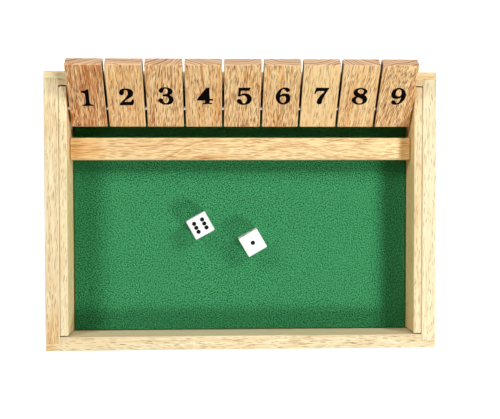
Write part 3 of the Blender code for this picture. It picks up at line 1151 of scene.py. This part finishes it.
def floor_finish():
    """White paper: it takes the game's soft shadow and otherwise shows as plain white.

    Away from the game, where the lamps' light falls off, its own white takes over.
    """
    finish = Finish("white floor")
    settings = look("stage")
    rays = finish.node("LightPath", {}).outputs
    seen = finish.sum("MAXIMUM", rays["Is Camera Ray"], rays["Is Glossy Ray"])
    seen = finish.sum("MAXIMUM", seen, rays["Is Transmission Ray"])
    away = finish.vector("LENGTH", finish.place())
    away = finish.between(away, settings.near / MM, settings.far / MM)
    glow = settings.floor_glow
    glow = finish.sum("MULTIPLY_ADD", away, 1 - glow, glow)
    return finish.made(
        {
            "Base Color": finish.ramp(away, ((0, (0.8, 0.8, 0.8)), (1, BLACK))),
            "Roughness": 0.9,
            "Specular IOR Level": 0,
            "Emission Color": (1, 1, 1, 1),
            "Emission Strength": finish.sum("MULTIPLY", seen, glow),
        }
    )


# Putting pieces in place


def mark_grain(mesh, turn):
    """Notes at each point which way its face looks, and where its rounded edges are.

    The first two are the normal's parts along the grain and across it. The third is how
    far the normal is from all three of the piece's directions, as it is along the rounded
    edges only; the wood paints those edges pale as a highlight.
    """
    normals = np.empty(len(mesh.vertices) * 3, np.float32)
    mesh.vertex_normals.foreach_get("vector", normals)
    parts = normals.reshape(-1, 3) @ np.array(turn, np.float32)
    marks = {
        "end_grain": np.abs(parts[:, 0]),
        "side_face": parts[:, 1],
        "rounded_edge": 1 - np.abs(parts).max(axis=1),
    }
    for name, values in marks.items():
        layer = mesh.attributes.new(name, "FLOAT", "POINT")
        layer.data.foreach_set("value", np.ascontiguousarray(values))


def add_piece(mesh, finishes, body, slot, *nodes):
    """Adds a piece, named as its mesh, that rides on a body and may stand for CAD nodes."""
    piece = bpy.data.objects.new(mesh.name, mesh)
    bpy.context.scene.collection.objects.link(piece)
    for finish in finishes:
        mesh.materials.append(finish)
    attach(piece, body)
    if nodes:
        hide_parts(*nodes)
    return piece


def add_wooden(mesh, kind, cut, slot, node, body="tray"):
    """Adds a wooden piece for a CAD node, once its mesh is marked for its grain."""
    mark_grain(mesh, cut.turn)
    finish = wood(f"{node.replace('_', ' ')} wood", kind, cut)
    add_piece(mesh, [finish], body, slot, node)


def middle_of(node):
    """The middle of a node's box."""
    low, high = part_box(node)
    return tuple((low + high) / 2)


def rod_axis():
    """A point on the rod's axis, from the first tile's hinge."""
    hinge = next(joint for joint in frame["joints"] if joint["type"] == "hinge")
    return Vector(hinge["pos_m"])


def rod_radius():
    """Half the height of the rod's box."""
    low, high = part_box("pivot_rod")
    return (high.z - low.z) / 2


def node_corners(node):
    """A node's points, and the outward direction of its largest face."""
    mesh = frame["nodes"][node].data
    points = np.array([vertex.co for vertex in mesh.vertices])
    largest = max(mesh.polygons, key=lambda face: face.area)
    return points, largest.normal.copy()


def tile_lean(node):
    """The turn about X from a level tile to the tile at rest, from its number face."""
    _, normal = node_corners(node)
    if normal.z < 0:
        normal.negate()
    return math.atan2(-normal.y, normal.z)


# Operators


# Which way each wall's plan is mirrored, and how the wall was sawn
WALL_CUTS = {
    "back": (
        (1, 1),
        dict(
            centre=(0, 0.098, 0.015),
            turn=ALONG_X,
            seed=3,
            heart=(6, -90),
            tone=0.03,
            lines=0.4,
            pores=0.35,
            # Both drifts lighten the board's ends, painted light where the tiles' shadow falls
            drift=((0, -104, -132, 0.4, 0.2), (0, 104, 132, 0.1, 0.3)),
        ),
    ),
    "front": (
        (1, -1),
        dict(
            centre=(0, -0.098, 0.015),
            turn=ALONG_X,
            seed=11,
            heart=(-9, -78),
            tone=0.28,
            lines=0.7,
            pores=0.4,
            # The first drift lightens the inner face, painted light
            drift=((1, 5.1, 5.24, 0.5, 0.1), (0, -130, -142, -0.3, 0.8)),
        ),
    ),
    "left": (
        (-1, 1),
        dict(
            centre=(-0.14, 0, 0.015),
            turn=ALONG_Y,
            seed=19,
            heart=(34, -90),
            tone=0.15,
            sway=5,
            pores=0.35,
            # The first drift lightens the back end, painted light where the tiles' shadow falls
            drift=((0, 55, 90, 0.3, 0.1), (0, -60, -90, -0.2, 0.6)),
        ),
    ),
    "right": (
        (1, 1),
        dict(
            centre=(0.14, 0, 0.015),
            turn=ALONG_Y,
            seed=27,
            heart=(-34, -84),
            tone=0.39,
            streaks=0.4,
            pores=0.35,
            hairs=0.5,
            warmth=0.1,
        ),
    ),
}


class SHUTBOX_OT_walls(bpy.types.Operator):
    """Make the four wall boards, with their lapped corners"""

    bl_idname = "shutbox.walls"
    bl_label = "Walls"

    def execute(self, context):
        settings = look("tray")
        low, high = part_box("back_wall")
        side_low, side_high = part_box("right_wall")
        line, joint = settings.joint_line, settings.joint_share
        notch = side_low.x - line, side_high.y + line
        corner = WALL_CORNER * settings.wall_edge
        end_plan = end_board_plan(high.x, high.y, low.y, *notch, corner, joint)
        side_plan = side_board_plan(side_high.x, side_low.x, side_high.y, joint)
        kind = Wood(
            pale=settings.wall_pale,
            deep=settings.wall_deep,
            warm=screen(248, 226, 196),
            pores=screen(172, 124, 68),
            sawn_pale=screen(250, 230, 194),
            sawn_deep=screen(222, 186, 144),
            # Painted shade for the end walls' inner faces, in the gaps behind the liners' ends
            painted_shade=screen(34, 24, 16),
            pore_size=(5, 0.62),
        )
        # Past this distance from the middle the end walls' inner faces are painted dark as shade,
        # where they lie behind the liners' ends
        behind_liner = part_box("right_liner")[0].x / MM + SHADE_FADE
        for side, (mirror, words) in WALL_CUTS.items():
            at_end = words["turn"] == ALONG_X
            cut = Cut(shaded_sides=((-mirror[1], behind_liner),) * at_end, **words)
            plan = (part * mirror for part in (end_plan if at_end else side_plan))
            mesh = board_on_plan(f"{side}_board", *plan, high.z, settings.wall_edge)
            add_wooden(mesh, kind, cut, "frame_wood", f"{side}_wall")
        return {"FINISHED"}


class SHUTBOX_OT_liners(bpy.types.Operator):
    """Make the two liners that carry the rod"""

    bl_idname = "shutbox.liners"
    bl_label = "Liners"

    def execute(self, context):
        settings = look("tray")
        axis = rod_axis()
        bore = rod_radius() + settings.joint_line
        kind = Wood(
            pale=settings.liner_pale,
            deep=settings.liner_deep,
            warm=screen(250, 226, 190),
            pores=screen(172, 124, 64),
            # Near-black sawn ends: painted shade for the gaps between the liners' ends and the
            # walls
            sawn_pale=screen(46, 30, 18),
            sawn_deep=screen(30, 20, 12),
            pore_size=(5, 0.62),
        )
        # Each first drift lightens and warms the liner's inner face, painted light; the left
        # liner's second drift lightens its back end, painted light where the tiles' shadow falls
        for side, seed, heart, drift in (
            ("left", 35, (5, -45), ((1, -2.85, -2.95, 0.35, 0.5), (0, 50, 80, 0.45, 0.2))),
            ("right", 43, (-16, -38), ((1, 2.85, 2.95, 0.4, 0.7), (0, 60, 80, -0.1, 0.3))),
        ):
            node = f"{side}_liner"
            low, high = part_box(node)
            middle = (low + high) / 2
            short = settings.liner_short
            points = bored_block(
                (high.x - low.x) / 2,
                (low.y + short - axis.y, low.z - axis.z),
                (high.y - short - axis.y, high.z - axis.z),
                bore,
                settings.liner_edge,
                settings.liner_end,
                settings.joint_line,
            )
            points += (middle.x, axis.y, axis.z)
            mesh = surface(f"{side}_liner_board", points, close_rows=True)
            cut = Cut(
                tuple(middle),
                ALONG_Y,
                seed,
                heart,
                tone=0.22,
                streaks=0.5,
                lines=0.4,
                pores=0.35,
                drift=drift,
            )
            add_wooden(mesh, kind, cut, "liner_wood", node)
        return {"FINISHED"}


class SHUTBOX_OT_rest(bpy.types.Operator):
    """Make the rest that fallen tiles lie on"""

    bl_idname = "shutbox.rest"
    bl_label = "Rest"

    def execute(self, context):
        settings = look("tray")
        low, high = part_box("tile_rest")
        ends = Vector((settings.rest_short, 0, 0))
        mesh = eased_block("rest_bar", low + ends, high - ends, 0, settings.rest_edge)
        cut = Cut(
            middle_of("tile_rest"),
            ALONG_X,
            51,
            heart=(60, -40),
            slants=(0.3, 0),
            ring_gap=9,
            rings=0.4,
            streaks=0.3,
            lines=0.5,
            pores=0.55,
            hairs=0.9,
            warmth=0.2,
            tone=0.13,
            sway=2,
            swells=((-70, -26, 16), (4, 38, 9), (38, 72, -10)),
            # The end drifts darken and warm the left end, painted shade beside the left liner, and
            # lighten and warm the right end, painted light in the right liner's shadow
            drift=(
                (0, -98, -112, -0.12, 0.35),
                (0, -30, 5, 0.12, 0),
                (0, 98, 112, 0.16, 0),
                (0, 118.5, 121, 0.3, 0.5),
            ),
        )
        kind = Wood(
            pale=settings.rest_pale,
            deep=settings.rest_deep,
            warm=screen(252, 222, 172),
            pores=screen(178, 112, 52),
            # Dark sawn ends: painted shade for the narrow gaps beside the liners
            sawn_pale=screen(110, 78, 48),
            sawn_deep=screen(74, 50, 30),
            pore_size=(15, 0.5),
        )
        add_wooden(mesh, kind, cut, "rest_wood", "tile_rest")
        return {"FINISHED"}


class SHUTBOX_OT_base(bpy.types.Operator):
    """Make the thin board that closes the underside"""

    bl_idname = "shutbox.base"
    bl_label = "Base"

    def execute(self, context):
        settings = look("tray")
        low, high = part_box("base_panel")
        mesh = eased_block("base_board", low, high, 0, settings.base_edge, steps=2)
        cut = Cut(middle_of("base_panel"), ALONG_X, 67, (40, -26), bands=0.8, rings=0.4)
        kind = Wood(
            pale=settings.base_pale,
            deep=settings.base_deep,
            warm=screen(246, 214, 176),
            pores=screen(150, 108, 66),
            sawn_pale=screen(214, 180, 138),
            sawn_deep=screen(176, 136, 92),
            roughness=0.65,
        )
        add_wooden(mesh, kind, cut, "base_wood", "base_panel")
        return {"FINISHED"}


class SHUTBOX_OT_felt(bpy.types.Operator):
    """Lay the felt mat on the tray's floor"""

    bl_idname = "shutbox.felt"
    bl_label = "Felt"

    def execute(self, context):
        settings = look("felt")
        low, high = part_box("felt_mat")
        trim = Vector((settings.trim, settings.trim, 0))
        low, high = low + trim, high - trim
        sizes = settings.spacing, settings.nap, settings.tuck
        mesh = felt_surface("green_felt", low, high, *sizes)
        felt = add_piece(mesh, [felt_finish()], "tray", "felt", "felt_mat")
        return {"FINISHED"}


class SHUTBOX_OT_rod(bpy.types.Operator):
    """Make the steel rod that the tiles turn on"""

    bl_idname = "shutbox.rod"
    bl_label = "Rod"

    def execute(self, context):
        settings = look("rod")
        low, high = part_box("pivot_rod")
        axis = rod_axis()
        half = (high.x - low.x) / 2
        mesh = turned_bar("steel_rod", half, rod_radius(), settings.chamfer, settings.sides)
        mesh.transform(Matrix.Translation(((low.x + high.x) / 2, axis.y, axis.z)))
        add_piece(mesh, [steel_finish()], "tray", "steel", "pivot_rod")
        return {"FINISHED"}


# How each tile was sawn, from 1 to 9: where its heart lies and how its grain runs out,
# and then the cut's tone, streaks, lines, pores, hairs, warmth and sway
TILE_WORDS = ("heart", "slants", "tone", "streaks", "lines", "pores", "hairs", "warmth", "sway")
TILE_SEED, TILE_SEED_STEP = 71, 7
TILE_CUTS = (
    ((16, -40), (1, 1), -0.2, 0.6, 2.1, 1.2, 0.8, 0.1, 3.5),
    ((-5, -70), (0, 1), 0.12, 0.6, 1.2, 0.4, 0.6, 0.4, 3.5),
    ((30, -30), (-3, 0), 0.21, 0.6, 1.7, 1.1, 0.6, 0.4, 6),
    ((-24, -44), (1, 1), 0.12, 0.6, 1.5, 0.6, 0.6, 0.5, 3.5),
    ((9, -55), (-1, 1), 0.27, 0.6, 2.2, 1.1, 0.6, 0.4, 3.5),
    ((-12, -54), (1, 0), 0.27, 0.6, 2.3, 0.9, 0.6, 0.4, 3.5),
    ((22, -60), (-1, 0), 0.42, 0.6, 1.2, 0.3, 0.6, 0.15, 3.5),
    ((-30, -36), (-4, 1), 0.26, 0.6, 1.3, 0.5, 0.6, 0.4, 3.5),
    ((12, -30), (-6, 2), 0.33, 0.6, 2.0, 1.3, 0.9, 0.3, 3.5),
)


class SHUTBOX_OT_tiles(bpy.types.Operator):
    """Make the nine tiles that flip over on the rod"""

    bl_idname = "shutbox.tiles"
    bl_label = "Tiles"

    def execute(self, context):
        settings = look("tile")
        bore = rod_radius() + settings.bore_gap
        kind = Wood(
            pale=settings.pale,
            deep=settings.deep,
            warm=screen(252, 218, 168),
            pores=screen(120, 52, 16),
            sawn_pale=screen(250, 210, 168),
            sawn_deep=screen(190, 134, 92),
            # Painted shade for the sides that face a neighbouring tile
            painted_shade=screen(84, 50, 28),
            pore_size=(7, 0.7),
        )
        for number in range(1, TILE_COUNT + 1):
            self.add_tile(number, settings, bore, kind)
        return {"FINISHED"}

    def add_tile(self, number, settings, bore, kind):
        """A tile as a bored block, planed on both sides and more on the row's two ends."""
        node = f"tile_{number}"
        half_width, low, high, place, lean = tile_place(node)
        half_width -= settings.planed
        outer = (number == TILE_COUNT) - (number == 1)
        clearance = settings.clearance / 2
        half_width -= clearance * abs(outer)
        rng = np.random.default_rng(number)
        phases = rng.uniform(0, 2 * math.pi, (2, 3))

        def rounded_edge(side, points):
            """The edge radius at each point, which wanders with three sine waves."""
            along = points[:, :1] / (high[0] - low[0]) * 2 * math.pi
            waves = np.sin(along * (1, 2.3, 4.1) + phases[(side + 1) // 2]).sum(axis=1) / 3
            return settings.edge * (1 + settings.wear_share * waves)

        points = bored_block(
            half_width, low, high, bore, rounded_edge, settings.corner, settings.bore_chamfer
        )
        points[..., 0] -= clearance * outer
        mesh = surface(f"numbered_tile_{number}", place(points), close_rows=True)
        turn = Matrix.Rotation(lean, 3, "X") @ ALONG_Y
        centre = place(np.array([[0.0, (low[0] + high[0]) / 2, 0.0]]))[0]
        # Each side that faces another tile is painted dark as shade
        shaded_sides = ((1, 0),) * (number > 1) + ((-1, 0),) * (number < TILE_COUNT)
        words = dict(zip(TILE_WORDS, TILE_CUTS[number - 1]))
        seed = TILE_SEED + TILE_SEED_STEP * number
        cut = Cut(tuple(centre), turn, seed, shaded_sides=shaded_sides, **words)
        add_wooden(mesh, kind, cut, "tile_wood", node, body=node)


def tile_place(node):
    """A tile's half width, the ends of its side outline from the rod's axis, and its place.

    The place takes points with X across the tile, Y along it and Z out of its number
    face, from the rod's axis, turns them by the tile's lean and moves them to the tile.
    """
    points, _ = node_corners(node)
    lean = tile_lean(node)
    axis = np.array(rod_axis())
    axis[0] = (points[:, 0].min() + points[:, 0].max()) / 2
    turn = np.array(Matrix.Rotation(lean, 3, "X"))
    own = (points - axis) @ turn
    low, high = own.min(axis=0), own.max(axis=0)
    return high[0], low[1:], high[1:], lambda grid: grid @ turn.T + axis, lean


class SHUTBOX_OT_numbers(bpy.types.Operator):
    """Paint the numbers on the tiles"""

    bl_idname = "shutbox.numbers"
    bl_label = "Numbers"

    def execute(self, context):
        settings = look("number")
        finish = paint_finish()
        for number in range(1, TILE_COUNT + 1):
            node = f"tile_{number}"
            _, _, high, place, _ = tile_place(node)
            shift = np.array(NUMBER_SHIFT_SHARES[number - 1]) * settings.height
            outlines = []
            for place_in_line, outline in enumerate(NUMBER_OUTLINES[number]):
                points = outline_points(outline) * settings.height / 100
                spread = settings.spread if place_in_line == 0 else -settings.spread
                outlines.append(run_out(points, spread) + shift + (0, settings.base))
            low = high[1] + settings.lift
            mesh = paint_film(f"number_{number}", outlines, low, low + settings.paint, place)
            add_piece(mesh, [finish], node, "black_paint")
        return {"FINISHED"}


CORNER_CELLS = ((-1, -1), (-1, 1), (1, -1), (1, 1))
PIP_CELLS = {
    1: ((0, 0),),
    2: ((-1, -1), (1, 1)),
    3: ((-1, -1), (0, 0), (1, 1)),
    4: CORNER_CELLS,
    5: (*CORNER_CELLS, (0, 0)),
    6: (*CORNER_CELLS, (-1, 0), (1, 0)),
}
# Each face of a die: its pips, and the axis and angle that turn the top face to it
DIE_FACES = (
    (6, "X", 0),
    (1, "X", 180),
    (2, "X", -90),
    (5, "X", 90),
    (3, "Y", 90),
    (4, "Y", -90),
)
# How far each die is tipped over about its own Y before it is turned, in degrees
DIE_TIPS = {"die_1": 0, "die_2": 180}
# The drill for a pip: its sides, its steps from the middle to the rim, and the share of
# its radius at its blunt tip
PIP_SIDES, PIP_STEPS, PIP_TIP = 32, 6, 0.02
# The bend above which an edge of a die is sharp, as a pip's rim is
PIP_SHARP_DEGREES = 22


class SHUTBOX_OT_dice(bpy.types.Operator):
    """Make the two dice, with drilled and painted pips"""

    bl_idname = "shutbox.dice"
    bl_label = "Dice"

    def execute(self, context):
        settings = look("dice")
        white = plastic_finish("white plastic", settings.white, 0.22, 0.01)
        black = plastic_finish("pip paint", settings.black, 0.5, 0.3, gloss=0.1)
        for node, tip in DIE_TIPS.items():
            low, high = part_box(node)
            half = (high.z - low.z) / 2
            body = bpy.data.objects.new("die body", pulled_sphere("die body", half, settings.edge))
            pips = bpy.data.objects.new("die pips", self.pips(half, settings))
            for shape in (body, pips):
                context.scene.collection.objects.link(shape)
                for finish in (white, black):
                    shape.data.materials.append(finish)
            drill = body.modifiers.new("pips", "BOOLEAN")
            drill.operation = "DIFFERENCE"
            drill.solver = "EXACT"
            drill.object = pips
            context.view_layer.update()
            drilled = body.evaluated_get(context.evaluated_depsgraph_get())
            mesh = bpy.data.meshes.new_from_object(drilled)
            mesh.name = f"pipped_{node}"
            for shape in (body, pips):
                bpy.data.objects.remove(shape)
            turn = Matrix.Rotation(self.turn_of(node), 4, "Z")
            tipped = Matrix.Rotation(math.radians(tip), 4, "Y")
            mesh.transform(Matrix.Translation((low + high) / 2) @ turn @ tipped)
            mesh.set_sharp_from_angle(angle=math.radians(PIP_SHARP_DEGREES))
            add_piece(mesh, [], node, "die_plastic", node)
        return {"FINISHED"}

    def turn_of(self, node):
        """The die's turn about Z, from the direction of its upright faces."""
        mesh = frame["nodes"][node].data
        upright = [face for face in mesh.polygons if abs(face.normal.z) < 0.01]
        normal = max(upright, key=lambda face: face.area).normal
        return math.atan2(normal.y, normal.x) % RIGHT_ANGLE

    def pips(self, half, settings):
        """The drill for all of a die's pips: a bowl for each, with a straight neck above it.

        The bowl is part of a sphere as deep and as wide as the pip.
        """
        radius, depth = settings.pip_radius, settings.pip_depth
        sphere = (radius**2 + depth**2) / (2 * depth)
        slope = np.linspace(0, math.asin(radius / sphere), PIP_STEPS + 1)
        around = np.concatenate([sphere * np.sin(slope), [radius]])
        height = np.concatenate([half - depth + sphere * (1 - np.cos(slope)), [half + depth]])
        around[0] = radius * PIP_TIP
        drill = surface("pips", turned(around, height, PIP_SIDES))
        shape = bmesh.new()
        for count, axis, angle in DIE_FACES:
            turn = Matrix.Rotation(math.radians(angle), 4, axis)
            for column, row in PIP_CELLS[count]:
                spot = (column * settings.pip_spacing, row * settings.pip_spacing, 0)
                one = drill.copy()
                one.transform(turn @ Matrix.Translation(spot))
                shape.from_mesh(one)
                bpy.data.meshes.remove(one)
        for face in shape.faces:
            face.material_index = 1
        mesh = bpy.data.meshes.new("pips")
        shape.to_mesh(mesh)
        shape.free()
        return mesh


FLOOR_SIDES = 96
# Each lamp's slope away from straight up, its width and height as shares of how high it
# stands, and its part of the light
LAMPS = (
    ("right back lamp", (0.84, 0.66), (0.3, 0.34), 0.32),
    ("right front lamp", (0.86, -0.72), (0.32, 0.34), 0.36),
    ("left back lamp", (-0.85, 0.8), (0.46, 0.46), 0.27),
    ("left front lamp", (-1.3, -0.9), (0.9, 0.9), 0.07),
    ("low front lamp", (-0.2, -1.6), (1.2, 0.6), 0.07),
)


class SHUTBOX_OT_stage(bpy.types.Operator):
    """Set the floor, the lamps and the camera"""

    bl_idname = "shutbox.stage"
    bl_label = "Stage"

    def execute(self, context):
        settings = look("stage")
        scene = context.scene
        scene.view_settings.view_transform = "Standard"
        self.add_floor(settings)
        self.light_world(scene, settings)
        for name, slope, spread, part in LAMPS:
            self.add_lamp(name, slope, spread, part * settings.level, settings.lamp_height)
        camera = bpy.data.objects.new("camera", bpy.data.cameras.new("camera"))
        scene.collection.objects.link(camera)
        camera.data.lens = settings.lens
        camera.location = settings.camera_place
        camera.rotation_euler = Euler(settings.camera_turn, "XYZ")
        scene.camera = camera
        return {"FINISHED"}

    def add_floor(self, settings):
        """One flat round face, whose rim is the radius times each direction."""
        rim = turned([settings.floor_radius], [-settings.floor_gap], FLOOR_SIDES)[0]
        mesh = bpy.data.meshes.new("floor")
        mesh.from_pydata(rim.tolist(), [], [list(range(FLOOR_SIDES))])
        floor = bpy.data.objects.new("floor", mesh)
        bpy.context.scene.collection.objects.link(floor)
        mesh.materials.append(floor_finish())

    def light_world(self, scene, settings):
        """Plain white where it is seen, and an even grey light on everything else."""
        world = bpy.data.worlds.new("studio")
        world.use_nodes = True
        scene.world = world
        nodes, links = world.node_tree.nodes, world.node_tree.links
        rays = nodes.new("ShaderNodeLightPath").outputs
        seen = nodes.new("ShaderNodeMath")
        seen.operation = "MAXIMUM"
        links.new(rays["Is Camera Ray"], seen.inputs[0])
        links.new(rays["Is Glossy Ray"], seen.inputs[1])
        strength = nodes.new("ShaderNodeMapRange")
        links.new(seen.outputs[0], strength.inputs["Value"])
        strength.inputs["To Min"].default_value = settings.sky
        strength.inputs["To Max"].default_value = 1
        background = nodes["Background"]
        background.inputs["Color"].default_value = (1, 1, 1, 1)
        links.new(strength.outputs["Result"], background.inputs["Strength"])

    def add_lamp(self, name, slope, spread, part, height):
        """A soft lamp that points at the tray and lights the floor there by its part."""
        lamp = bpy.data.lights.new(name, "AREA")
        lamp.shape = "RECTANGLE"
        lamp.size, lamp.size_y = (height * side for side in spread)
        place = height * Vector((*slope, 1))
        away = place.length
        lamp.energy = part * (math.pi * away) ** 2 * away / height
        holder = bpy.data.objects.new(name, lamp)
        bpy.context.scene.collection.objects.link(holder)
        holder.location = place
        holder.rotation_euler = (-place).to_track_quat("-Z", "Y").to_euler()


OPERATORS = (
    SHUTBOX_OT_walls,
    SHUTBOX_OT_liners,
    SHUTBOX_OT_rest,
    SHUTBOX_OT_base,
    SHUTBOX_OT_felt,
    SHUTBOX_OT_rod,
    SHUTBOX_OT_tiles,
    SHUTBOX_OT_numbers,
    SHUTBOX_OT_dice,
    SHUTBOX_OT_stage,
)
LOOKS = {
    "tray": TrayLook,
    "tile": TileLook,
    "number": NumberLook,
    "felt": FeltLook,
    "rod": RodLook,
    "dice": DiceLook,
    "stage": StageLook,
}


class SHUTBOX_PT_panel(bpy.types.Panel):
    """Lists the makers of the game's pieces"""

    bl_label = "Shut the box"
    bl_idname = "SHUTBOX_PT_panel"
    bl_space_type = "VIEW_3D"
    bl_region_type = "UI"
    bl_category = "Shut the box"

    def draw(self, context):
        for operator in OPERATORS:
            self.layout.operator(operator.bl_idname)


def register():
    """Registers the settings, the operators and the panel."""
    for made in (*LOOKS.values(), *OPERATORS, SHUTBOX_PT_panel):
        bpy.utils.register_class(made)
    for name, group in LOOKS.items():
        setattr(bpy.types.Scene, f"shut_box_{name}", PointerProperty(type=group))


def unregister():
    """Takes away what register added."""
    for name in LOOKS:
        delattr(bpy.types.Scene, f"shut_box_{name}")
    for made in (SHUTBOX_PT_panel, *OPERATORS[::-1], *LOOKS.values()):
        bpy.utils.unregister_class(made)


def main():
    """Makes all the pieces and the stage."""
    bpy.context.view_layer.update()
    register()
    for operator in OPERATORS:
        group, name = operator.bl_idname.split(".")
        getattr(getattr(bpy.ops, group), name)()


if __name__ == "__main__":
    main()
